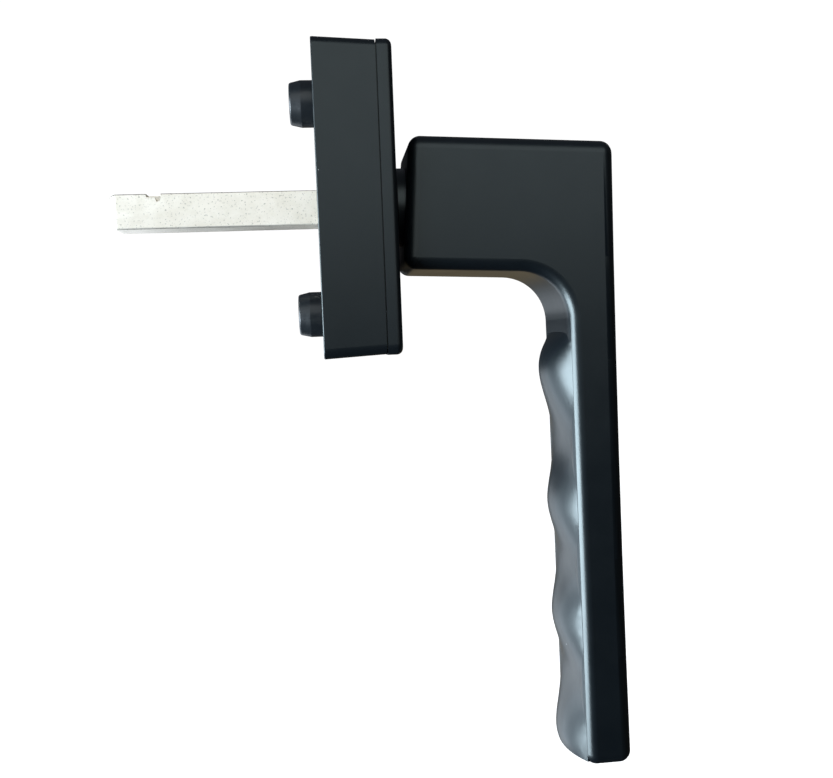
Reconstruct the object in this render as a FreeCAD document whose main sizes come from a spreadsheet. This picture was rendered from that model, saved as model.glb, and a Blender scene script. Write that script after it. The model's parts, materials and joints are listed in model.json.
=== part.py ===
"""Window handle: a die-cast lever on a rectangular rosette, with a square spindle and a 90 degree detent.

Frame: millimetres, +Z up, +X out of the window sash and into the room. The origin is the middle of the
rosette's back face, on the spindle's axis. The grip hangs down, which is the closed position.
"""

import FreeCAD, Part
import math
import os

import Sketcher
from FreeCAD import Rotation, Vector

# Driving dimensions. X positions are measured from the rosette's back face.
SIZES = {
    # rosette
    "base_height": 61.3,
    "base_width": 30.0,
    "base_draft": 2.5,
    "casing_front": 12.2,
    "casing_wall": 2.2,
    "rim_radius": 0.25,
    "cavity_depth": 9.7,
    "corner_radius": 2.0,
    "split_gap": 0.25,
    "split_inset": 1.0,
    "plate_thickness": 2.4,
    "plate_play": 0.1,
    "cap_height": 60.5,
    "cap_width": 29.2,
    "cap_front": 15.4,
    "cap_edge_radius": 1.2,
    "cap_skin": 1.4,
    "cap_rim": 1.7,
    "collar_front": 15.8,
    "collar_foot_radius": 11.0,
    "collar_top_radius": 9.2,
    "collar_bore_radius": 8.4,
    # fixing screws and locating bosses
    "screw_spacing": 43.0,
    "screw_hole_radius": 2.7,
    "head_recess_radius": 5.1,
    "head_recess_floor": 4.2,
    "column_radius": 6.6,
    "boss_radius": 4.65,
    "boss_straight": 2.5,
    "boss_taper": 2.35,
    "boss_taper_angle": 13.0,
    "boss_edge_radius": 0.5,
    # screws that hold the base plate
    "plate_screw_across": 9.2,
    "plate_screw_up": 25.4,
    "plate_screw_radius": 1.25,
    "plate_screw_head_radius": 2.3,
    "plate_screw_head_depth": 1.3,
    "plate_screw_length": 7.5,
    "plate_screw_column_radius": 2.7,
    "plate_screw_play": 0.05,
    "thread_run_out": 0.5,
    "cross_slot_width": 0.5,
    "cross_slot_length": 2.6,
    "cross_slot_depth": 0.9,
    # neck, journal and bearings
    "neck_radius": 8.0,
    "neck_rear": 16.0,
    "journal_radius": 6.5,
    "journal_rear": 0.9,
    "journal_flat": 5.0,
    "journal_shoulder": 8.95,
    "running_play": 0.05,
    "bush_radius": 7.85,
    "bush_front": 15.9,
    "rear_bush_front": 2.5,
    "rear_bush_rear": 0.3,
    "seal_centre": 14.95,
    "seal_thickness": 0.8,
    "seal_groove_width": 1.1,
    # indexing
    "cam_across_flats": 15.0,
    "cam_corner_radius": 3.5,
    "cam_rear": 5.6,
    "cam_front": 8.9,
    "thrust_front": 9.65,
    "washer_outer_radius": 9.5,
    "washer_bore_radius": 6.6,
    "washer_play": 0.03,
    "spring_rear": 5.8,
    "spring_front": 8.7,
    "spring_thickness": 0.4,
    "spring_half_length": 12.9,
    "carrier_rear": 2.45,
    "carrier_half_width": 12.1,
    "carrier_half_height": 14.6,
    "carrier_window_width": 10.6,
    "carrier_window_height": 10.8,
    "spring_slot_play": 0.1,
    # axial retention
    "ring_groove_radius": 6.2,
    "ring_rear": 2.9,
    "ring_front": 3.9,
    "ring_outer_radius": 8.0,
    "ring_lug_radius": 1.5,
    "ring_eye_radius": 0.675,
    "ring_gap": 2.6,
    "backing_front": 4.75,
    "disc_spring_front": 5.55,
    "disc_spring_thickness": 0.4,
    "disc_spring_radius": 9.3,
    # cap bearing
    "liner_radius": 9.6,
    "liner_bore_radius": 8.1,
    "liner_rear": 12.55,
    "liner_front": 14.85,
    "liner_wall_around": 1.4,
    "snap_rear": 13.45,
    "snap_front": 14.05,
    "snap_inner_radius": 7.35,
    "snap_outer_radius": 8.7,
    "snap_play": 0.25,
    "snap_gap": 2.0,
    # spindle
    "spindle_side": 7.0,
    "spindle_reach": 41.5,
    "spindle_front": 27.5,
    "spindle_edge_radius": 0.3,
    "spindle_hole_play": 0.05,
    "spindle_end_play": 0.5,
    "spindle_tip_radius": 1.8,
    "notch_from_tip": 7.5,
    "notch_length": 3.0,
    "notch_depth": 1.6,
    "notch_cut": 3.0,
    "pin_centre": 11.9,
    "pin_radius": 1.5,
    "pin_bore_radius": 0.9,
    "pin_length": 12.4,
    "pin_slot": 0.6,
    "pin_play": 0.02,
    # lever
    "lever_width": 22.0,
    "hub_rear_low": 16.5,
    "hub_rear_high": 18.4,
    "hub_top": 12.9,
    "hub_top_slope": 2.5,
    "hub_bottom": 13.45,
    "hub_bottom_slope": 2.7,
    "outer_face": 59.62,
    "outer_hollow": 0.43,
    "outer_lean": 0.9,
    "lever_end": 117.8,
    "inner_corner_radius": 2.5,
    "throat_radius": 10.0,
    "finger_face": 49.5,
    "finger_lean": 0.7,
    "finger_edge_radius": 2.3,
    "crown_start": 20.5,
    "crown_half_width": 10.0,
    "crown_foot": 0.36,
    "crown_root": 3.0,
    "start_rise": 0.02,
    "hollow_rise": 0.5,
    "crest_rise": 3.05,
    "shoulder_rise": 3.05,
    "end_rise": 2.7,
    "wave_pitch": 24.3,
    "first_hollow": 27.5,
    "wave_count": 4.0,
    "end_rounding": 1.3,
    "end_step": 0.95,
    "top_edge_radius": 2.8,
    "outer_edge_radius": 2.5,
    "rear_edge_radius": 2.5,
}

ALONG_X = Rotation(Vector(0, 1, 0), 90)

doc = FreeCAD.newDocument("window_handle")
sheet = doc.addObject("Spreadsheet::Sheet", "Sizes")
for row, (alias, value) in enumerate(SIZES.items(), start=1):
    sheet.set(f"A{row}", alias)
    sheet.set(f"B{row}", str(value))
    sheet.setAlias(f"B{row}", alias)
doc.recompute()


def size(alias):
    """The number that the sheet holds under this alias."""
    return float(sheet.get(alias))


def formula(text):
    """Turns a formula of plain aliases into one that names the sheet's cells."""
    marks = text.replace("(", "( ").replace(")", " )").split(" ")
    return " ".join(f"Sizes.{mark}" if mark in SIZES else mark for mark in marks)


def new_body(label):
    """An empty body whose label is the node's name."""
    body = doc.addObject("PartDesign::Body", label)
    body.Label = label
    return body


def sketch_on(body, name, role, offset=None):
    """A sketch on one of the body's own origin planes, moved along the plane's normal by the offset."""
    sketch = body.newObject("Sketcher::SketchObject", name)
    plane = next(item for item in body.Origin.OriginFeatures if item.Role == role)
    sketch.AttachmentSupport = [(plane, "")]
    sketch.MapMode = "FlatFace"
    if offset is not None:
        sketch.setExpression("AttachmentOffset.Base.z", formula(offset))
    return sketch


def fix_point(sketch, geometry, vertex, across, up):
    """Binds a vertex's two coordinates to formulas. A zero puts it on the axis."""
    for kind, axis, text in (("DistanceX", -2, across), ("DistanceY", -1, up)):
        if text == "0":
            sketch.addConstraint(Sketcher.Constraint("PointOnObject", geometry, vertex, axis))
        else:
            index = sketch.addConstraint(Sketcher.Constraint(kind, -1, 1, geometry, vertex, 1.0))
            sketch.setExpression(f"Constraints[{index}]", formula(text))


def polygon(sketch, corners):
    """A closed outline of straight lines, each corner bound to its pair of formulas."""
    count = len(corners)
    turn = 2 * math.pi / count
    start = [Vector(math.cos(turn * i), math.sin(turn * i), 0) for i in range(count)]
    lines = []
    for i in range(count):
        lines.append(sketch.addGeometry(Part.LineSegment(start[i], start[(i + 1) % count])))
    for i, line in enumerate(lines):
        following = lines[(i + 1) % count]
        sketch.addConstraint(Sketcher.Constraint("Coincident", line, 2, following, 1))
        fix_point(sketch, line, 1, *corners[i])


def rectangle(sketch, left, right, low, high):
    """An upright rectangle between four formulas."""
    polygon(sketch, [(left, low), (right, low), (right, high), (left, high)])


def circle(sketch, radius, across="0", up="0"):
    """A circle whose radius and centre are bound to formulas."""
    index = sketch.addGeometry(Part.Circle(Vector(0, 0, 0), Vector(0, 0, 1), 1.0))
    bound = sketch.addConstraint(Sketcher.Constraint("Radius", index, 1.0))
    sketch.setExpression(f"Constraints[{bound}]", formula(radius))
    fix_point(sketch, index, 3, across, up)


def double_d(sketch, radius, flat):
    """A circle with two upright flats: the journal's section and the holes that fit over it."""
    end = math.acos(size("journal_flat") / size("journal_radius"))
    rim = size("journal_radius")
    centre = Vector(0, 0, 0)
    full = Part.Circle(centre, Vector(0, 0, 1), rim)
    top = sketch.addGeometry(Part.ArcOfCircle(full, end, math.pi - end))
    low = sketch.addGeometry(Part.ArcOfCircle(full, math.pi + end, 2 * math.pi - end))
    reach = Vector(rim * math.cos(end), rim * math.sin(end), 0)
    left = sketch.addGeometry(Part.LineSegment(Vector(-reach.x, reach.y, 0), Vector(-reach.x, -reach.y, 0)))
    right = sketch.addGeometry(Part.LineSegment(Vector(reach.x, -reach.y, 0), Vector(reach.x, reach.y, 0)))
    for one, other in ((top, left), (left, low), (low, right), (right, top)):
        sketch.addConstraint(Sketcher.Constraint("Coincident", one, 2, other, 1))
    for line in (left, right):
        sketch.addConstraint(Sketcher.Constraint("Vertical", line))
    for arc in (top, low):
        sketch.addConstraint(Sketcher.Constraint("Coincident", arc, 3, -1, 1))
    sketch.addConstraint(Sketcher.Constraint("Equal", top, low))
    bound = sketch.addConstraint(Sketcher.Constraint("Radius", top, rim))
    sketch.setExpression(f"Constraints[{bound}]", formula(radius))
    for line, text, start in ((left, f"-( {flat} )", -reach.x), (right, flat, reach.x)):
        bound = sketch.addConstraint(Sketcher.Constraint("DistanceX", -1, 1, line, 1, start))
        sketch.setExpression(f"Constraints[{bound}]", formula(text))


def checked(body, feature, adds):
    """Recomputes and makes sure that the feature really added or removed material."""
    base = feature.BaseFeature
    before = base.Shape.Volume if base is not None else 0.0
    doc.recompute()
    after = feature.Shape.Volume
    if (after > before + 1e-6) != adds or abs(after - before) < 1e-6:
        raise RuntimeError(f"{body.Label}.{feature.Name} went from {before:.3f} to {after:.3f} mm3")
    return feature


def pad(body, name, sketch, length, symmetric=False, reverse=False, taper=None):
    """Adds the sketch's outline as a prism, with an optional taper."""
    feature = body.newObject("PartDesign::Pad", name)
    feature.Profile = sketch
    feature.setExpression("Length", formula(length))
    feature.Reversed = reverse
    if symmetric:
        feature.SideType = "Symmetric"
    if taper is not None:
        feature.setExpression("TaperAngle", formula(taper))
    sketch.Visibility = False
    return checked(body, feature, adds=True)


def pocket(body, name, sketch, length, symmetric=False, forward=True, taper=None):
    """Cuts the sketch's outline. Forward is along the sketch plane's normal."""
    feature = body.newObject("PartDesign::Pocket", name)
    feature.Profile = sketch
    feature.setExpression("Length", formula(length))
    feature.Reversed = forward
    if symmetric:
        feature.SideType = "Symmetric"
    if taper is not None:
        feature.setExpression("TaperAngle", formula(taper))
    sketch.Visibility = False
    return checked(body, feature, adds=False)


def spin(body, name, sketch, adds=True):
    """Turns the sketch's outline all the way round the X axis, adding it or cutting it."""
    feature = body.newObject("PartDesign::Revolution" if adds else "PartDesign::Groove", name)
    feature.Profile = sketch
    feature.ReferenceAxis = (sketch, ["H_Axis"])
    feature.Angle = 360.0
    sketch.Visibility = False
    return checked(body, feature, adds=adds)


def fillet(body, name, wanted, radius):
    """Rounds the body's edges for which wanted(edge) is true."""
    base = body.Tip
    names = [f"Edge{i}" for i, edge in enumerate(base.Shape.Edges, start=1) if wanted(edge)]
    if not names:
        raise RuntimeError(f"{body.Label}.{name} found no edge")
    feature = body.newObject("PartDesign::Fillet", name)
    feature.Base = (base, names)
    feature.setExpression("Radius", formula(radius))
    return checked(body, feature, adds=False)


def along(edge, axis):
    """Whether a straight edge runs along an axis."""
    if edge.Curve.TypeId != "Part::GeomLine":
        return False
    direction = edge.tangentAt(edge.FirstParameter)
    return abs(abs(direction.dot(axis)) - 1) < 0.01


def in_plane(edge, axis, value):
    """Whether the whole edge lies in the plane at this value along the axis."""
    low = edge.BoundBox
    limits = {"x": (low.XMin, low.XMax), "y": (low.YMin, low.YMax), "z": (low.ZMin, low.ZMax)}[axis]
    return abs(limits[0] - value) < 0.02 and abs(limits[1] - value) < 0.02


def turned(label, outline):
    """A piece turned round the X axis from an outline of (x, radius) corners."""
    body = new_body(label)
    sketch = sketch_on(body, f"{label}_outline", "XY_Plane")
    polygon(sketch, outline)
    spin(body, f"{label}_turned", sketch)
    return body


def ring(label, rear, front, inner, outer):
    """A plain ring round the X axis."""
    return turned(label, [(rear, inner), (front, inner), (front, outer), (rear, outer)])


def washer(label, rear, front):
    """A ring in the size that both washers share."""
    return ring(label, rear, front, "washer_bore_radius", "washer_outer_radius")


# --- rosette ---


def screw_circles(sketch, radius):
    """One circle on each fixing screw's axis."""
    for up in ("screw_spacing / 2", "- screw_spacing / 2"):
        circle(sketch, radius, "0", up)


def plate_screw_places():
    """The four plate screws' places, as pairs of formulas."""
    return [
        (f"{side} plate_screw_across".strip(), f"{level} plate_screw_up".strip())
        for side in ("", "-")
        for level in ("", "-")
    ]


def make_base_casing():
    """Deep drafted shell: open at the back, with screw columns and the neck's bore in its front wall."""
    body = new_body("base_casing")
    outline = sketch_on(body, "casing_outline", "YZ_Plane")
    rectangle(outline, "- base_width / 2", "base_width / 2", "- base_height / 2", "base_height / 2")
    pad(body, "casing_block", outline, "casing_front", taper="- base_draft")
    fillet(body, "casing_corners", lambda e: e.BoundBox.XLength > 10, "corner_radius")
    fillet(body, "casing_rim", lambda e: in_plane(e, "x", 0), "rim_radius")

    land = sketch_on(body, "land_outline", "YZ_Plane", "casing_front")
    half_across = "base_width / 2 - casing_front * tan( base_draft ) - split_inset"
    half_up = "base_height / 2 - casing_front * tan( base_draft ) - split_inset"
    rectangle(land, f"- ( {half_across} )", half_across, f"- ( {half_up} )", half_up)
    pad(body, "split_land", land, "split_gap")

    cavity = sketch_on(body, "cavity_outline", "YZ_Plane")
    inner_across = "base_width / 2 - casing_wall"
    inner_up = "base_height / 2 - casing_wall"
    rectangle(cavity, f"- ( {inner_across} )", inner_across, f"- ( {inner_up} )", inner_up)
    pocket(body, "cavity", cavity, "cavity_depth", taper="- base_draft")

    columns = sketch_on(body, "column_circles", "YZ_Plane", "plate_thickness")
    screw_circles(columns, "column_radius")
    pad(body, "screw_columns", columns, "cavity_depth - plate_thickness")

    corners = sketch_on(body, "corner_column_circles", "YZ_Plane", "plate_thickness")
    for across, up in plate_screw_places():
        circle(corners, "plate_screw_column_radius", across, up)
    pad(body, "corner_columns", corners, "cavity_depth - plate_thickness")

    bore = sketch_on(body, "bore_circle", "YZ_Plane", "cavity_depth")
    circle(bore, "bush_radius")
    pocket(body, "neck_bore", bore, "casing_front + split_gap - cavity_depth")

    recess = sketch_on(body, "recess_circles", "YZ_Plane", "head_recess_floor")
    screw_circles(recess, "head_recess_radius")
    pocket(body, "head_recesses", recess, "casing_front + split_gap - head_recess_floor")

    holes = sketch_on(body, "screw_hole_circles", "YZ_Plane", "plate_thickness")
    screw_circles(holes, "screw_hole_radius")
    pocket(body, "screw_holes", holes, "head_recess_floor - plate_thickness")

    threads = sketch_on(body, "thread_circles", "YZ_Plane", "plate_thickness")
    for across, up in plate_screw_places():
        circle(threads, "plate_screw_radius + plate_screw_play", across, up)
    pocket(body, "thread_holes", threads, "plate_screw_length - plate_thickness + thread_run_out")
    return body


def make_base_plate():
    """Rear plate that closes the casing. Its two hollow bosses locate the handle in the sash."""
    body = new_body("base_plate")
    outline = sketch_on(body, "plate_outline", "YZ_Plane")
    half_across = "base_width / 2 - casing_wall - plate_play"
    half_up = "base_height / 2 - casing_wall - plate_play"
    rectangle(outline, f"- ( {half_across} )", half_across, f"- ( {half_up} )", half_up)
    pad(body, "plate_block", outline, "plate_thickness", taper="- base_draft")

    straight = sketch_on(body, "boss_circles", "YZ_Plane")
    screw_circles(straight, "boss_radius")
    pad(body, "bosses", straight, "boss_straight", reverse=True)
    tips = sketch_on(body, "boss_tip_circles", "YZ_Plane", "- boss_straight")
    screw_circles(tips, "boss_radius")
    pad(body, "boss_tips", tips, "boss_taper", reverse=True, taper="- boss_taper_angle")
    tip_plane = -size("boss_straight") - size("boss_taper")
    fillet(body, "boss_edges", lambda e: in_plane(e, "x", tip_plane), "boss_edge_radius")

    holes = sketch_on(body, "boss_bore_circles", "YZ_Plane", "- boss_straight - boss_taper")
    screw_circles(holes, "screw_hole_radius")
    pocket(body, "boss_bores", holes, "boss_straight + boss_taper + plate_thickness")

    bush_hole = sketch_on(body, "bush_hole_circle", "YZ_Plane")
    circle(bush_hole, "bush_radius")
    pocket(body, "bush_hole", bush_hole, "plate_thickness")

    sinks = sketch_on(body, "sink_circles", "YZ_Plane")
    for across, up in plate_screw_places():
        circle(sinks, "plate_screw_head_radius + plate_screw_play", across, up)
    sink_taper = "- atan( ( plate_screw_head_radius - plate_screw_radius ) / plate_screw_head_depth )"
    pocket(body, "screw_sinks", sinks, "plate_screw_head_depth", taper=sink_taper)
    shanks = sketch_on(body, "shank_circles", "YZ_Plane")
    for across, up in plate_screw_places():
        circle(shanks, "plate_screw_radius + plate_screw_play", across, up)
    pocket(body, "shank_holes", shanks, "plate_thickness")
    return body


def make_plate_screws():
    """Four countersunk screws with a cross slot, from the back through the plate into the casing."""
    screws = []
    for number, (across, up) in enumerate(plate_screw_places(), start=1):
        head = doc.addObject("Part::Cone", f"screw_head_{number}")
        head.setExpression("Radius1", formula("plate_screw_head_radius"))
        head.setExpression("Radius2", formula("plate_screw_radius"))
        head.setExpression("Height", formula("plate_screw_head_depth"))
        shank = doc.addObject("Part::Cylinder", f"screw_shank_{number}")
        shank.setExpression("Radius", formula("plate_screw_radius"))
        shank.setExpression("Height", formula("plate_screw_length"))
        pieces = [head, shank]
        slots = []
        for direction in ("across", "up"):
            slot = doc.addObject("Part::Box", f"screw_slot_{number}_{direction}")
            sides = ("cross_slot_width", "cross_slot_length")
            if direction == "up":
                sides = sides[::-1]
            for property_name, axis, side in zip(("Length", "Width"), "xy", sides):
                slot.setExpression(property_name, formula(side))
                slot.setExpression(f"Placement.Base.{axis}", formula(f"- {side} / 2"))
            slot.setExpression("Height", formula("cross_slot_depth"))
            slots.append(slot)
        solid = doc.addObject("Part::MultiFuse", f"screw_solid_{number}")
        solid.Shapes = pieces
        cross = doc.addObject("Part::MultiFuse", f"screw_cross_{number}")
        cross.Shapes = slots
        screw = doc.addObject("Part::Cut", f"screw_{number}")
        screw.Base = solid
        screw.Tool = cross
        screw.Placement = FreeCAD.Placement(Vector(), ALONG_X)
        screw.setExpression("Placement.Base.y", formula(across))
        screw.setExpression("Placement.Base.z", formula(up))
        screws.append(screw)
    group = doc.addObject("Part::Compound", "plate_screws")
    group.Links = screws
    group.Label = "plate_screws"
    return group


def make_cover_cap():
    """Thin front cap: hollow behind, with a low collar round the neck."""
    body = new_body("cover_cap")
    rear = "casing_front + split_gap"
    outline = sketch_on(body, "cap_outline", "YZ_Plane", rear)
    rectangle(outline, "- cap_width / 2", "cap_width / 2", "- cap_height / 2", "cap_height / 2")
    pad(body, "cap_block", outline, "cap_front - casing_front - split_gap")
    fillet(body, "cap_corners", lambda e: along(e, Vector(1, 0, 0)), "corner_radius")
    fillet(body, "cap_front_edge", lambda e: in_plane(e, "x", size("cap_front")), "cap_edge_radius")

    collar = sketch_on(body, "collar_outline", "XY_Plane")
    polygon(
        collar,
        [
            ("cap_front - 1", "0"),
            ("cap_front - 1", "collar_foot_radius"),
            ("cap_front", "collar_foot_radius"),
            ("collar_front", "collar_top_radius"),
            ("collar_front", "0"),
        ],
    )
    spin(body, "collar", collar)

    hollow = sketch_on(body, "cap_hollow_outline", "YZ_Plane", rear)
    half_across = "cap_width / 2 - cap_rim"
    half_up = "cap_height / 2 - cap_rim"
    rectangle(hollow, f"- ( {half_across} )", half_across, f"- ( {half_up} )", half_up)
    circle(hollow, "liner_radius + liner_wall_around")
    pocket(body, "cap_hollow", hollow, "cap_front - casing_front - split_gap - cap_skin")

    seat = sketch_on(body, "liner_seat_circle", "YZ_Plane", rear)
    circle(seat, "liner_radius")
    pocket(body, "liner_seat", seat, "liner_front - casing_front - split_gap")
    bore = sketch_on(body, "collar_bore_circle", "YZ_Plane", rear)
    circle(bore, "collar_bore_radius")
    pocket(body, "collar_bore", bore, "collar_front - casing_front - split_gap")
    return body


def make_cap_liner():
    """Nylon ring pressed into the cap, with a groove inside that rides over the snap ring."""
    groove = "snap_outer_radius + snap_play"
    return turned(
        "cap_liner",
        [
            ("liner_rear", "liner_bore_radius"),
            ("snap_rear - snap_play", "liner_bore_radius"),
            ("snap_rear - snap_play", groove),
            ("snap_front + snap_play", groove),
            ("snap_front + snap_play", "liner_bore_radius"),
            ("liner_front", "liner_bore_radius"),
            ("liner_front", "liner_radius"),
            ("liner_rear", "liner_radius"),
        ],
    )


def make_cap_snap_ring():
    """Open wire ring in the front bush's outer groove."""
    body = ring("cap_snap_ring", "snap_rear", "snap_front", "snap_inner_radius", "snap_outer_radius")
    gap = sketch_on(body, "snap_gap_outline", "YZ_Plane", "snap_rear")
    rectangle(gap, "- snap_gap / 2", "snap_gap / 2", "snap_inner_radius - 1", "snap_outer_radius + 1")
    pocket(body, "snap_gap", gap, "snap_front - snap_rear")
    return body


# --- bearings, seal and retention ---


def make_front_bush():
    """Nylon bearing pressed into the casing's front wall, with the snap ring's groove round it."""
    bore = "journal_radius + running_play"
    return turned(
        "front_bush",
        [
            ("cavity_depth", bore),
            ("bush_front", bore),
            ("bush_front", "bush_radius"),
            ("snap_front + snap_play / 5", "bush_radius"),
            ("snap_front + snap_play / 5", "snap_inner_radius - running_play"),
            ("snap_rear - snap_play / 5", "snap_inner_radius - running_play"),
            ("snap_rear - snap_play / 5", "bush_radius"),
            ("cavity_depth", "bush_radius"),
        ],
    )


def make_disc_spring():
    """Conical washer that pushes the cam forward."""
    dish = "disc_spring_front - backing_front - disc_spring_thickness"
    return turned(
        "disc_spring",
        [
            (f"backing_front + {dish}", "washer_bore_radius"),
            ("disc_spring_front", "washer_bore_radius"),
            ("backing_front + disc_spring_thickness", "disc_spring_radius"),
            ("backing_front", "disc_spring_radius"),
        ],
    )


def make_retaining_ring():
    """Open ring with two pierced lugs, sprung into the journal's groove."""
    body = new_body("retaining_ring")
    disc = sketch_on(body, "ring_circle", "YZ_Plane", "ring_rear")
    circle(disc, "ring_outer_radius")
    pad(body, "ring_disc", disc, "ring_front - ring_rear")
    lug_across = "ring_gap / 2 + ring_lug_radius"
    lugs = sketch_on(body, "lug_circles", "YZ_Plane", "ring_rear")
    circle(lugs, "ring_lug_radius", lug_across, "- ring_outer_radius")
    circle(lugs, "ring_lug_radius", f"- ( {lug_across} )", "- ring_outer_radius")
    pad(body, "ring_lugs", lugs, "ring_front - ring_rear")
    bore = sketch_on(body, "ring_bore_circle", "YZ_Plane", "ring_rear")
    circle(bore, "ring_groove_radius + pin_play")
    pocket(body, "ring_bore", bore, "ring_front - ring_rear")
    gap = sketch_on(body, "ring_gap_outline", "YZ_Plane", "ring_rear")
    rectangle(gap, "- ring_gap / 2", "ring_gap / 2", "- 2 * ring_outer_radius", "- ring_outer_radius / 2")
    pocket(body, "ring_gap_cut", gap, "ring_front - ring_rear")
    eyes = sketch_on(body, "lug_eye_circles", "YZ_Plane", "ring_rear")
    circle(eyes, "ring_eye_radius", lug_across, "- ring_outer_radius")
    circle(eyes, "ring_eye_radius", f"- ( {lug_across} )", "- ring_outer_radius")
    pocket(body, "lug_eyes", eyes, "ring_front - ring_rear")
    return body


def make_neck_seal():
    """O-ring in the neck's groove."""
    body = new_body("neck_seal")
    section = sketch_on(body, "seal_section", "XY_Plane")
    seat = "journal_radius - seal_thickness / 2 + running_play / 2"
    circle(section, "seal_thickness / 2", "seal_centre", seat)
    spin(body, "seal_turned", section)
    return body


# --- indexing ---


def make_index_cam():
    """Square cam with rounded corners that the leaf springs grip."""
    body = new_body("index_cam")
    outline = sketch_on(body, "cam_outline", "YZ_Plane", "cam_rear")
    half = "cam_across_flats / 2"
    rectangle(outline, f"- {half}", half, f"- {half}", half)
    pad(body, "cam_block", outline, "cam_front - cam_rear")
    fillet(body, "cam_corners", lambda e: along(e, Vector(1, 0, 0)), "cam_corner_radius")
    hole = sketch_on(body, "cam_hole_outline", "YZ_Plane", "cam_rear")
    double_d(hole, "journal_radius + pin_play", "journal_flat + pin_play")
    pocket(body, "cam_hole", hole, "cam_front - cam_rear")
    return body


def make_spring_carrier():
    """Nylon frame round the cam with a slot for each end of the two leaf springs."""
    body = new_body("spring_carrier")
    outline = sketch_on(body, "carrier_outline", "YZ_Plane", "carrier_rear")
    rectangle(
        outline,
        "- carrier_half_width",
        "carrier_half_width",
        "- carrier_half_height",
        "carrier_half_height",
    )
    pad(body, "carrier_block", outline, "thrust_front - carrier_rear", taper="- base_draft")
    window = sketch_on(body, "carrier_window_outline", "YZ_Plane", "carrier_rear")
    rectangle(
        window,
        "- carrier_window_width",
        "carrier_window_width",
        "- carrier_window_height",
        "carrier_window_height",
    )
    pocket(body, "carrier_window", window, "thrust_front - carrier_rear")
    near = "cam_across_flats / 2 - spring_slot_play"
    far = "cam_across_flats / 2 + spring_thickness + spring_slot_play"
    end = "spring_half_length + spring_slot_play"
    slots = sketch_on(body, "spring_slot_outlines", "YZ_Plane", "carrier_rear")
    rectangle(slots, near, far, "carrier_window_height - 1", end)
    rectangle(slots, near, far, f"- ( {end} )", "1 - carrier_window_height")
    rectangle(slots, f"- ( {far} )", f"- ( {near} )", "carrier_window_height - 1", end)
    rectangle(slots, f"- ( {far} )", f"- ( {near} )", f"- ( {end} )", "1 - carrier_window_height")
    pocket(body, "spring_slots", slots, "spring_front - carrier_rear + spring_slot_play")
    return body


def make_detent_spring(label, side):
    """Flat leaf spring beside the cam, on the side whose sign is given."""
    body = new_body(label)
    strip = sketch_on(body, f"{label}_outline", "YZ_Plane", "spring_rear")
    near = "cam_across_flats / 2"
    far = "cam_across_flats / 2 + spring_thickness"
    if side > 0:
        rectangle(strip, near, far, "- spring_half_length", "spring_half_length")
    else:
        rectangle(strip, f"- ( {far} )", f"- ( {near} )", "- spring_half_length", "spring_half_length")
    pad(body, f"{label}_strip", strip, "spring_front - spring_rear")
    return body


# --- spindle and its pin ---


def make_spindle():
    """Square bar with rounded tip corners, a staked notch near its tip and a cross hole for the pin."""
    body = new_body("spindle")
    section = sketch_on(body, "spindle_section", "YZ_Plane", "- spindle_reach")
    half = "spindle_side / 2"
    rectangle(section, f"- {half}", half, f"- {half}", half)
    pad(body, "spindle_bar", section, "spindle_reach + spindle_front")
    tip = -size("spindle_reach")
    fillet(body, "spindle_edges", lambda e: along(e, Vector(1, 0, 0)), "spindle_edge_radius")
    fillet(
        body,
        "spindle_tip",
        lambda e: in_plane(e, "x", tip) and along(e, Vector(0, 1, 0)),
        "spindle_tip_radius",
    )
    notch = sketch_on(body, "notch_outline", "XZ_Plane", "spindle_side / 2 - notch_cut")
    start = "notch_from_tip - spindle_reach"
    edge = "spindle_side / 2"
    polygon(
        notch,
        [
            (start, f"{edge} + 1"),
            (f"{start} + notch_length * 0.05", f"{edge} - notch_depth * 0.45"),
            (f"{start} + notch_length * 0.6", f"{edge} - notch_depth * 0.5"),
            (f"{start} + notch_length * 0.7", f"{edge} - notch_depth"),
            (f"{start} + notch_length * 0.93", f"{edge} - notch_depth * 0.93"),
            (f"{start} + notch_length", f"{edge} - notch_depth * 0.3"),
            (f"{start} + notch_length", f"{edge} + 1"),
        ],
    )
    pocket(body, "notch", notch, "notch_cut + 1")
    hole = sketch_on(body, "spindle_pin_circle", "XY_Plane")
    circle(hole, "pin_radius + pin_play", "pin_centre")
    pocket(body, "spindle_pin_hole", hole, "spindle_side + 2", symmetric=True)
    return body


def make_spindle_pin():
    """Slotted spring pin across the neck."""
    body = new_body("spindle_pin")
    section = sketch_on(body, "pin_section", "XY_Plane")
    circle(section, "pin_radius", "pin_centre")
    circle(section, "pin_bore_radius", "pin_centre")
    pad(body, "pin_tube", section, "pin_length", symmetric=True)
    slot = sketch_on(body, "pin_slot_outline", "XY_Plane")
    rectangle(slot, "pin_centre", "pin_centre + pin_radius + 1", "- pin_slot / 2", "pin_slot / 2")
    pocket(body, "pin_slot_cut", slot, "pin_length + 2", symmetric=True)
    return body


# --- lever ---


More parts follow.
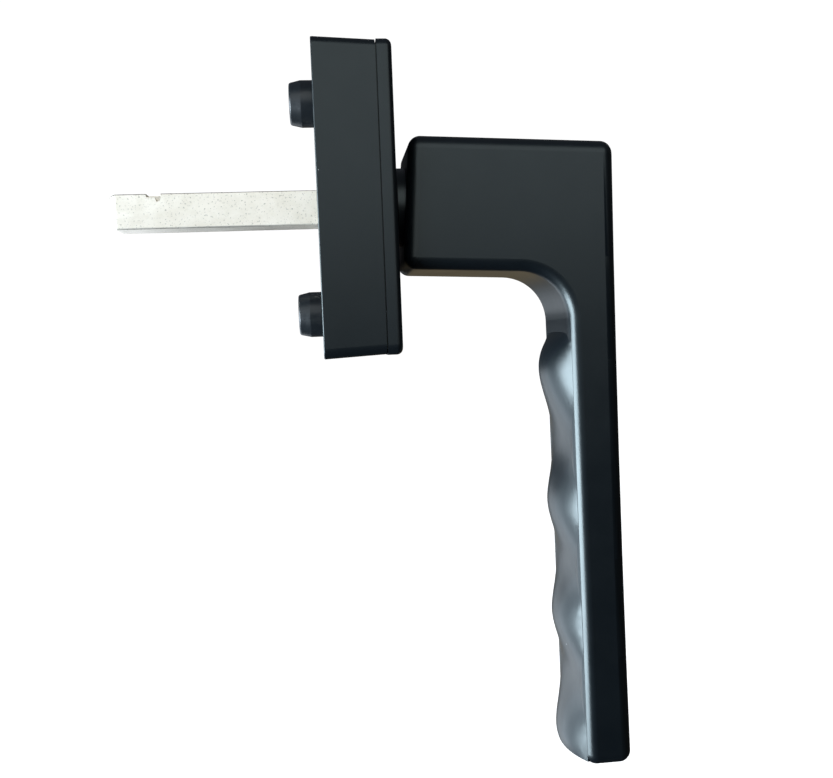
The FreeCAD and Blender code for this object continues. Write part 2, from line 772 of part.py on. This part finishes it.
def lever_outline():
    """The lever's side outline in the XZ plane, as a closed list of curves."""
    bottom_slope = math.radians(size("hub_bottom_slope"))
    top_slope = math.radians(size("hub_top_slope"))
    lean = math.radians(size("finger_lean"))
    low, high = size("hub_rear_low"), size("hub_rear_high")
    outer, end = size("outer_face"), -size("lever_end")
    toe = outer + size("outer_lean")
    throat, corner = size("throat_radius"), size("inner_corner_radius")

    def point(x, z):
        return Vector(x, z, 0)

    def finger_x(z):
        """The finger side's straight line, which leans out as it goes down."""
        return size("finger_face") - (z + size("first_hollow")) * math.tan(lean)

    bottom_rear = point(low, -size("hub_bottom"))
    top_rear = point(high, size("hub_top"))
    top_outer = point(outer, size("hub_top") - (outer - high) * math.tan(top_slope))
    bottom_outer = point(toe, end)
    middle_outer = (top_outer + bottom_outer) / 2 - point(size("outer_hollow"), 0)

    def inner_arc(radius, meeting, turn_from, turn_to):
        """An arc that rounds the corner at the meeting point, between two directions of its radius."""
        half = (turn_to - turn_from) / 2
        middle = turn_from + half
        centre = meeting - radius / math.cos(half) * point(math.cos(middle), math.sin(middle))
        turns = (turn_from, middle, turn_to)
        return [centre + radius * point(math.cos(turn), math.sin(turn)) for turn in turns]

    # the underside and the finger side meet here before the throat rounds the corner
    fall = math.tan(bottom_slope)
    meeting_x = finger_x(bottom_rear.y + fall * low) / (1 - fall * math.tan(lean))
    meeting = point(meeting_x, bottom_rear.y - fall * (meeting_x - low))
    throat_low, throat_middle, throat_top = inner_arc(throat, meeting, lean, math.pi / 2 - bottom_slope)
    toe_corner = point(finger_x(end), end)
    corner_high, corner_middle, corner_low = inner_arc(corner, toe_corner, math.pi + lean, 1.5 * math.pi)
    return [
        Part.LineSegment(bottom_rear, top_rear),
        Part.LineSegment(top_rear, top_outer),
        Part.Arc(top_outer, middle_outer, bottom_outer),
        Part.LineSegment(bottom_outer, corner_low),
        Part.Arc(corner_low, corner_middle, corner_high),
        Part.LineSegment(corner_high, throat_low),
        Part.Arc(throat_low, throat_middle, throat_top),
        Part.LineSegment(throat_top, bottom_rear),
    ]


def crown_section(body, name, down, rise):
    """One cross-section of the grip's crowned finger side, at a distance below the spindle's axis."""
    sketch = sketch_on(body, name, "XY_Plane", f"- ( {down} )")
    side = f"finger_face + ( {down} - first_hollow ) * tan( finger_lean )"
    foot, root, half = f"{side} + crown_foot", f"{side} + crown_root", "crown_half_width"
    for line in range(3):
        sketch.addGeometry(Part.LineSegment(Vector(line, 0, 0), Vector(line + 1, 0, 0)))
    for line in range(2):
        sketch.addConstraint(Sketcher.Constraint("Coincident", line, 2, line + 1, 1))
    fix_point(sketch, 0, 1, foot, f"- {half}")
    fix_point(sketch, 1, 1, root, f"- {half}")
    fix_point(sketch, 2, 1, root, half)
    fix_point(sketch, 2, 2, foot, half)
    doc.recompute()

    # the bulge can only be drawn once its two ends are where they belong
    low, high = sketch.Geometry[0].StartPoint, sketch.Geometry[2].EndPoint
    height = size(rise) + size("crown_foot")
    bulge = sketch.addGeometry(Part.Arc(high, (low + high) / 2 - Vector(height, 0, 0), low))
    sketch.addConstraint(Sketcher.Constraint("Coincident", 2, 2, bulge, 1))
    sketch.addConstraint(Sketcher.Constraint("Coincident", 0, 1, bulge, 2))
    bound = sketch.addConstraint(Sketcher.Constraint("Radius", bulge, sketch.Geometry[bulge].Radius))
    bulge_height = f"( {rise} + crown_foot )"
    bulge_radius = f"( {half} ^ 2 + {bulge_height} ^ 2 ) / ( 2 * {bulge_height} )"
    sketch.setExpression(f"Constraints[{bound}]", formula(bulge_radius))
    return sketch


def add_crown(body):
    """Bulges the finger side between the grip's two straight edges, with hollows for the fingers."""
    places = [("crown_start", "start_rise")]
    for step in range(2 * int(size("wave_count"))):
        rise = "hollow_rise" if step % 2 == 0 else "crest_rise"
        places.append((f"first_hollow + {step} * wave_pitch / 2", rise))
    places.append(("lever_end - end_step - end_rounding", "shoulder_rise"))
    places.append(("lever_end - end_step", "end_rise"))
    sections = [crown_section(body, f"crown_{i}", *place) for i, place in enumerate(places)]
    crown = body.newObject("PartDesign::AdditiveLoft", "crown")
    crown.Profile = sections[0]
    crown.Sections = sections[1:]
    checked(body, crown, adds=True)


def make_lever_handle():
    """Hub, grip, neck and journal in one casting."""
    body = new_body("lever_handle")
    outline = sketch_on(body, "lever_side_outline", "XZ_Plane")
    for curve in lever_outline():
        outline.addGeometry(curve)
    pad(body, "lever_block", outline, "lever_width", symmetric=True)

    half = size("lever_width") / 2
    throat = size("throat_radius")

    def is_throat(edge):
        if edge.Curve.TypeId != "Part::GeomCircle":
            return False
        return abs(edge.Curve.Radius - throat) < 0.01 and abs(abs(edge.CenterOfMass.y) - half) < 0.01

    def is_top(edge):
        box = edge.BoundBox
        return box.ZMin > 9 and box.XLength > 30 and box.YLength < 0.01

    def is_outer(edge):
        return edge.BoundBox.XMin > size("outer_face") - size("outer_hollow") - 0.05

    def is_rear(edge):
        return edge.BoundBox.XMax < size("hub_rear_high") + 0.05

    fillet(body, "finger_edges", is_throat, "finger_edge_radius")
    fillet(body, "top_edges", is_top, "top_edge_radius")
    fillet(body, "outer_edges", is_outer, "outer_edge_radius")
    fillet(body, "rear_edges", is_rear, "rear_edge_radius")
    add_crown(body)

    neck = sketch_on(body, "neck_circle", "YZ_Plane", "neck_rear")
    circle(neck, "neck_radius")
    pad(body, "neck", neck, "hub_rear_high + 1 - neck_rear")
    journal = sketch_on(body, "journal_circle", "YZ_Plane", "journal_rear")
    circle(journal, "journal_radius")
    pad(body, "journal", journal, "neck_rear - journal_rear")

    flats = sketch_on(body, "flat_outlines", "YZ_Plane", "journal_rear")
    rim = "journal_radius + 1"
    rectangle(flats, "journal_flat", rim, f"- ( {rim} )", rim)
    rectangle(flats, f"- ( {rim} )", "- journal_flat", f"- ( {rim} )", rim)
    pocket(body, "journal_flats", flats, "journal_shoulder - journal_rear")

    grooves = sketch_on(body, "groove_outlines", "XY_Plane")
    play = "running_play"
    rectangle(grooves, f"ring_rear - {play}", f"ring_front + {play}", "ring_groove_radius", rim)
    seal_floor = "journal_radius - seal_thickness"
    seal_half = "seal_groove_width / 2"
    rectangle(grooves, f"seal_centre - {seal_half}", f"seal_centre + {seal_half}", seal_floor, rim)
    spin(body, "journal_grooves", grooves, adds=False)

    socket = sketch_on(body, "spindle_socket_outline", "YZ_Plane", "journal_rear")
    side = "( spindle_side + spindle_hole_play ) / 2"
    rectangle(socket, f"- {side}", side, f"- {side}", side)
    pocket(body, "spindle_socket", socket, "spindle_front + spindle_end_play - journal_rear")

    cross = sketch_on(body, "cross_hole_circle", "XY_Plane")
    circle(cross, "pin_radius + pin_play", "pin_centre")
    pocket(body, "cross_hole", cross, "4 * journal_radius", symmetric=True)
    return body


def make_all():
    """Every sub-part: the rosette's first, then those that turn with the lever."""
    bush_bore = "journal_radius + running_play"
    return [
        make_base_casing(),
        make_base_plate(),
        make_plate_screws(),
        make_front_bush(),
        ring("rear_bush", "rear_bush_rear", "rear_bush_front", bush_bore, "bush_radius"),
        washer("thrust_washer", "cam_front + washer_play", "thrust_front"),
        make_spring_carrier(),
        make_detent_spring("detent_spring_left", -1),
        make_detent_spring("detent_spring_right", 1),
        make_cap_snap_ring(),
        make_cover_cap(),
        make_cap_liner(),
        make_lever_handle(),
        make_spindle(),
        make_spindle_pin(),
        make_index_cam(),
        make_disc_spring(),
        washer("backing_washer", "ring_front + washer_play", "backing_front"),
        make_retaining_ring(),
        make_neck_seal(),
    ]


def export(parts):
    """Checks that nothing failed, then writes each sub-part to its own file."""
    doc.recompute()
    broken = [item.Name for item in doc.Objects if {"Invalid", "Error"} & set(item.State)]
    if broken:
        raise RuntimeError(f"failed objects: {broken}")
    os.makedirs("parts", exist_ok=True)
    for part in parts:
        shape = part.Shape
        if shape.isNull() or not shape.isValid() or not shape.Solids:
            raise RuntimeError(f"{part.Label} has no sound solid")
        shape.exportStep(f"parts/{part.Label}.step")
        print(f"{part.Label}: {len(shape.Solids)} solid(s), {shape.Volume:.1f} mm3")


export(make_all())
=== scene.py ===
import json
import math

import bpy
from mathutils import Matrix, Vector

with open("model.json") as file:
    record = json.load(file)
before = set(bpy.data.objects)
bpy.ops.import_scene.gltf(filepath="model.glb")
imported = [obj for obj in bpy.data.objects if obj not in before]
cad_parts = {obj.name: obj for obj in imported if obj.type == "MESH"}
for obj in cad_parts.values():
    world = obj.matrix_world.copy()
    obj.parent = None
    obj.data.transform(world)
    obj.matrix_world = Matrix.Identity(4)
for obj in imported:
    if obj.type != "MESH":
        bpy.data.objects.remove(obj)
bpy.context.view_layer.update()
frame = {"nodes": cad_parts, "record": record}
NODES = frame["nodes"]

# --- shader helpers ---


def new_material(name):
    """An empty procedural material: its nodes, its links and its Principled shader."""
    material = bpy.data.materials.new(name)
    material.use_nodes = True
    nodes = material.node_tree.nodes
    return material, nodes, material.node_tree.links, nodes["Principled BSDF"]


def noise(nodes, links, scale, detail=3.0, roughness=0.5, stretch=None):
    """Noise in the object's own metres. Stretch scales the coordinates per axis, for brushed grain."""
    place = nodes.new("ShaderNodeTexCoord")
    texture = nodes.new("ShaderNodeTexNoise")
    texture.inputs["Scale"].default_value = scale
    texture.inputs["Detail"].default_value = detail
    texture.inputs["Roughness"].default_value = roughness
    if stretch:
        mapping = nodes.new("ShaderNodeMapping")
        mapping.inputs["Scale"].default_value = stretch
        links.new(place.outputs["Object"], mapping.inputs["Vector"])
        links.new(mapping.outputs["Vector"], texture.inputs["Vector"])
    else:
        links.new(place.outputs["Object"], texture.inputs["Vector"])
    return texture.outputs["Fac"]


def ramp(nodes, links, value, stops):
    """A colour ramp over a value, from (position, colour) stops."""
    node = nodes.new("ShaderNodeValToRGB")
    elements = node.color_ramp.elements
    while len(elements) < len(stops):
        elements.new(0.5)
    for element, (position, colour) in zip(elements, stops):
        element.position = position
        element.color = colour if len(colour) == 4 else (*colour, 1.0)
    links.new(value, node.inputs["Fac"])
    return node.outputs["Color"]


def grey(level):
    """A neutral colour."""
    return (level, level, level)


def bump(nodes, links, height, depth, shader):
    """Raises the surface by a height map, in metres."""
    node = nodes.new("ShaderNodeBump")
    node.inputs["Distance"].default_value = depth
    node.inputs["Strength"].default_value = 1.0
    links.new(height, node.inputs["Height"])
    links.new(node.outputs["Normal"], shader.inputs["Normal"])


def specks(nodes, links, spacing, size, share):
    """A few round specks on a grid of random points: one in a speck, zero elsewhere."""
    place = nodes.new("ShaderNodeTexCoord")
    cells = nodes.new("ShaderNodeTexVoronoi")
    cells.inputs["Scale"].default_value = 1.0 / spacing
    links.new(place.outputs["Object"], cells.inputs["Vector"])
    near = nodes.new("ShaderNodeMath")
    near.operation = "LESS_THAN"
    near.inputs[1].default_value = size / spacing
    links.new(cells.outputs["Distance"], near.inputs[0])
    channel = nodes.new("ShaderNodeSeparateColor")
    links.new(cells.outputs["Color"], channel.inputs["Color"])
    chosen = nodes.new("ShaderNodeMath")
    chosen.operation = "LESS_THAN"
    chosen.inputs[1].default_value = share
    links.new(channel.outputs["Red"], chosen.inputs[0])
    both = nodes.new("ShaderNodeMath")
    both.operation = "MULTIPLY"
    links.new(near.outputs["Value"], both.inputs[0])
    links.new(chosen.outputs["Value"], both.inputs[1])
    return both.outputs["Value"]


def blend(nodes, links, amount, first, second):
    """Mixes a colour socket with a fixed second colour, by an amount."""
    node = nodes.new("ShaderNodeMix")
    node.data_type = "RGBA"
    links.new(amount, node.inputs["Factor"])
    links.new(first, node.inputs["A"])
    node.inputs["B"].default_value = (*second, 1.0)
    return node.outputs["Result"]


# --- materials ---


def black_coat():
    """Satin black coat on die-cast metal: fine orange peel, uneven sheen and a little dust."""
    material, nodes, links, shader = new_material("black_coat_look")
    tint = noise(nodes, links, 60.0, 4.0)
    colour = ramp(nodes, links, tint, [(0.3, (0.0016, 0.0030, 0.0046)), (0.7, (0.0024, 0.0040, 0.0058))])
    dust = specks(nodes, links, spacing=0.006, size=0.00012, share=0.16)
    links.new(blend(nodes, links, dust, colour, (0.45, 0.46, 0.46)), shader.inputs["Base Color"])
    sheen = noise(nodes, links, 140.0, 5.0, 0.6)
    links.new(ramp(nodes, links, sheen, [(0.3, grey(0.31)), (0.7, grey(0.36))]), shader.inputs["Roughness"])
    shader.inputs["Specular Tint"].default_value = (0.90, 1.0, 1.0, 1.0)
    peel = noise(nodes, links, 1500.0, 2.0)
    bump(nodes, links, peel, 0.000003, shader)
    return material


def zinc_steel():
    """Bright zinc plating on cold-drawn steel, dulled in patches, with fine pits."""
    material, nodes, links, shader = new_material("zinc_steel_look")
    mottle = noise(nodes, links, 420.0, 6.0, 0.65)
    colour = ramp(nodes, links, mottle, [(0.3, (0.84, 0.78, 0.68)), (0.6, (0.94, 0.88, 0.79))])
    flakes = noise(nodes, links, 2600.0, 2.0, 0.5)
    spots = ramp(nodes, links, flakes, [(0.60, grey(0.0)), (0.70, grey(0.8))])
    links.new(blend(nodes, links, spots, colour, (0.42, 0.39, 0.33)), shader.inputs["Base Color"])
    shader.inputs["Metallic"].default_value = 0.9
    grain = noise(nodes, links, 900.0, 4.0, 0.6, (0.08, 1.0, 1.0))
    links.new(ramp(nodes, links, grain, [(0.3, grey(0.34)), (0.7, grey(0.48))]), shader.inputs["Roughness"])
    bump(nodes, links, flakes, 0.000012, shader)
    return material


def spring_steel():
    """Blued spring steel with a fine rolled grain."""
    material, nodes, links, shader = new_material("spring_steel_look")
    mottle = noise(nodes, links, 300.0, 4.0)
    colour = ramp(nodes, links, mottle, [(0.35, (0.20, 0.20, 0.22)), (0.65, (0.33, 0.33, 0.36))])
    links.new(colour, shader.inputs["Base Color"])
    shader.inputs["Metallic"].default_value = 1.0
    grain = noise(nodes, links, 1200.0, 3.0, 0.5, (1.0, 1.0, 0.1))
    links.new(ramp(nodes, links, grain, [(0.3, grey(0.25)), (0.7, grey(0.38))]), shader.inputs["Roughness"])
    bump(nodes, links, grain, 0.000006, shader)
    return material


def nylon(name, dark, light, rough_low, rough_high):
    """Moulded nylon: slightly uneven gloss over a faint flow pattern."""
    material, nodes, links, shader = new_material(name)
    flow = noise(nodes, links, 110.0, 4.0)
    links.new(ramp(nodes, links, flow, [(0.3, dark), (0.7, light)]), shader.inputs["Base Color"])
    sheen = noise(nodes, links, 260.0, 4.0)
    gloss = ramp(nodes, links, sheen, [(0.3, grey(rough_low)), (0.7, grey(rough_high))])
    links.new(gloss, shader.inputs["Roughness"])
    bump(nodes, links, noise(nodes, links, 1800.0, 2.0), 0.000006, shader)
    return material


def black_rubber():
    """Matt seal rubber."""
    material, nodes, links, shader = new_material("black_rubber_look")
    flow = noise(nodes, links, 500.0, 4.0)
    links.new(ramp(nodes, links, flow, [(0.3, grey(0.012)), (0.7, grey(0.022))]), shader.inputs["Base Color"])
    shader.inputs["Roughness"].default_value = 0.8
    bump(nodes, links, flow, 0.00001, shader)
    return material


def dress(looks):
    """Gives every CAD node the look of its material slot."""
    slots = {part["node"]: part["material_slot"] for part in frame["record"]["subparts"]}
    for name, node in NODES.items():
        for slot in node.material_slots:
            slot.material = looks[slots[name]]


# --- studio ---

FLOOR_Z = -0.16
FLOOR_REACH = 6.0
MIDDLE = Vector((0.02, 0.0, -0.04))


def stage_plane(name, corners, material):
    """A flat stage piece from its four corners."""
    mesh = bpy.data.meshes.new(name)
    mesh.from_pydata(corners, [], [(0, 1, 2, 3)])
    plane = bpy.data.objects.new(name, mesh)
    bpy.context.scene.collection.objects.link(plane)
    plane.data.materials.append(material)
    return plane


def softbox(name, place, width, height, radiance, colour):
    """A rectangular area light that faces the object. Its brightness doesn't depend on its size."""
    light = bpy.data.lights.new(name, "AREA")
    light.shape = "RECTANGLE"
    light.size = width
    light.size_y = height
    light.energy = radiance * math.pi * width * height
    light.color = colour
    lamp = bpy.data.objects.new(name, light)
    lamp.location = place
    lamp.rotation_euler = (MIDDLE - Vector(place)).to_track_quat("-Z", "Y").to_euler()
    lamp.visible_camera = False
    bpy.context.scene.collection.objects.link(lamp)
    return lamp


def pale_floor():
    """Plain pale floor, lit evenly by its own faint glow so that it stays white to its edge."""
    material, nodes, links, shader = new_material("pale_floor")
    shade = noise(nodes, links, 3.0)
    links.new(ramp(nodes, links, shade, [(0.3, grey(0.86)), (0.7, grey(0.88))]), shader.inputs["Base Color"])
    shader.inputs["Roughness"].default_value = 0.9
    shader.inputs["Emission Color"].default_value = (1, 1, 1, 1)
    shader.inputs["Emission Strength"].default_value = 1.0
    signs = [(-1, -1), (1, -1), (1, 1), (-1, 1)]
    corners = [(FLOOR_REACH * across, FLOOR_REACH * deep, FLOOR_Z) for across, deep in signs]
    floor = stage_plane("floor", corners, material)
    floor.visible_diffuse = False
    floor.visible_glossy = False
    floor.visible_shadow = False
    return floor


def surroundings():
    """White to the camera; to the object, a dim room that is a little brighter overhead."""
    world = bpy.data.worlds.new("room")
    bpy.context.scene.world = world
    world.use_nodes = True
    nodes, links = world.node_tree.nodes, world.node_tree.links
    nodes.clear()
    out = nodes.new("ShaderNodeOutputWorld")
    mix = nodes.new("ShaderNodeMixShader")
    path = nodes.new("ShaderNodeLightPath")
    white = nodes.new("ShaderNodeBackground")
    white.inputs["Color"].default_value = (1, 1, 1, 1)
    white.inputs["Strength"].default_value = 1.05
    room = nodes.new("ShaderNodeBackground")
    direction = nodes.new("ShaderNodeTexCoord")
    split = nodes.new("ShaderNodeSeparateXYZ")
    height = nodes.new("ShaderNodeMapRange")
    height.inputs["From Min"].default_value = -1.0
    links.new(direction.outputs["Generated"], split.inputs["Vector"])
    links.new(split.outputs["Z"], height.inputs["Value"])
    levels = [(0.0, grey(0.03)), (0.5, grey(0.03)), (0.62, (0.05, 0.055, 0.06)), (1.0, (0.10, 0.11, 0.13))]
    links.new(ramp(nodes, links, height.outputs["Result"], levels), room.inputs["Color"])
    links.new(path.outputs["Is Camera Ray"], mix.inputs["Fac"])
    links.new(room.outputs["Background"], mix.inputs[1])
    links.new(white.outputs["Background"], mix.inputs[2])
    links.new(mix.outputs["Shader"], out.inputs["Surface"])


def lights():
    """A window and a wall at the left, pale and warm surfaces behind, and a wall behind the camera."""
    softbox("window", (-1.2, -0.35, -0.25), 1.1, 1.0, 24.0, (0.78, 0.90, 1.0))
    softbox("side_wall", (-1.2, 0.7, -0.60), 1.3, 1.0, 1.85, (0.74, 0.87, 1.0))
    softbox("back_wall", (-0.75, 1.3, -0.65), 1.1, 1.1, 1.4, (0.86, 0.93, 1.0))
    softbox("warm_table", (0.5, 1.3, -0.45), 1.0, 0.6, 0.32, (1.0, 0.80, 0.48))
    softbox("front_wall", (0.1, -1.6, 0.78), 2.6, 1.45, 1.28, (0.93, 0.99, 1.0))


def camera():
    """A near view from the side: turned towards the lever, slightly down and slightly rolled."""
    place = Vector((0.0015, -0.18226, -0.02683))
    turn, tip, roll = math.radians(5.477), math.radians(3.470), math.radians(2.207)
    eye = bpy.data.cameras.new("view")
    eye.sensor_width = 36.0
    eye.lens = 37.51
    holder = bpy.data.objects.new("view", eye)
    ahead = Vector((math.sin(turn) * math.cos(tip), math.cos(turn) * math.cos(tip), -math.sin(tip)))
    level = Vector((math.cos(turn), -math.sin(turn), 0))
    upright = level.cross(ahead)
    right = math.cos(roll) * level - math.sin(roll) * upright
    up = math.sin(roll) * level + math.cos(roll) * upright
    axes = Matrix((right, up, -ahead)).transposed()
    holder.matrix_world = Matrix.Translation(place) @ axes.to_4x4()
    bpy.context.scene.collection.objects.link(holder)
    bpy.context.scene.camera = holder


dress(
    {
        "black_coat": black_coat(),
        "zinc_steel": zinc_steel(),
        "spring_steel": spring_steel(),
        "black_nylon": nylon("black_nylon_look", (0.004, 0.006, 0.008), (0.007, 0.009, 0.011), 0.3, 0.4),
        "white_nylon": nylon("white_nylon_look", (0.70, 0.69, 0.63), (0.78, 0.77, 0.72), 0.4, 0.5),
        "black_rubber": black_rubber(),
    }
)
pale_floor()
surroundings()
lights()
camera()
bpy.context.scene.view_settings.view_transform = "Standard"
